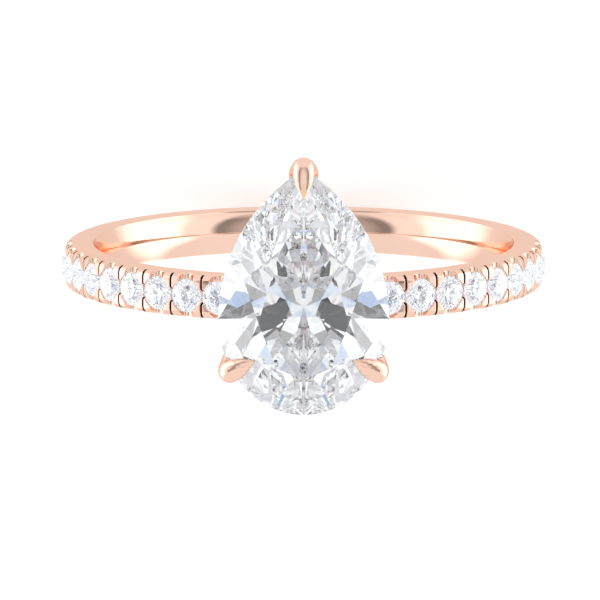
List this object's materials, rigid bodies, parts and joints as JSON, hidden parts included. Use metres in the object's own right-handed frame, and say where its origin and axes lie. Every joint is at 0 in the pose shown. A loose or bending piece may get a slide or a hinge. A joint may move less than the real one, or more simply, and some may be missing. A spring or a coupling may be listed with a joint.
{
  "type": "engagement ring",
  "caption": "Rose gold engagement ring: comfort-fit band, diamond-set shoulders in split-post pave, and a pear-cut diamond in a claw head.",
  "frame": {"origin": "centre of the finger hole, half-way along the finger", "axes": "+Y along the finger axis, towards the pear's point; +Z from the finger hole to the centre diamond; +X to the right shoulder"},
  "size_m": [0.0196, 0.0103, 0.0239],
  "materials": {
    "rose_gold": "polished",
    "diamond": "polished facets"
  },
  "bodies": {
    "root": {"shank": "rose_gold", "base_rail": "rose_gold", "gallery_rail": "rose_gold", "claw_point": "rose_gold", "claw_left": "rose_gold", "claw_right": "rose_gold", "centre_diamond": "diamond", "accent_diamond_left_01": "diamond", "accent_diamond_left_02": "diamond", "accent_diamond_left_03": "diamond", "accent_diamond_left_04": "diamond", "accent_diamond_left_05": "diamond", "accent_diamond_left_06": "diamond", "accent_diamond_left_07": "diamond", "accent_diamond_left_08": "diamond", "accent_diamond_left_09": "diamond", "accent_diamond_left_10": "diamond", "accent_diamond_right_01": "diamond", "accent_diamond_right_02": "diamond", "accent_diamond_right_03": "diamond", "accent_diamond_right_04": "diamond", "accent_diamond_right_05": "diamond", "accent_diamond_right_06": "diamond", "accent_diamond_right_07": "diamond", "accent_diamond_right_08": "diamond", "accent_diamond_right_09": "diamond", "accent_diamond_right_10": "diamond"}
  },
  "joints": []
}
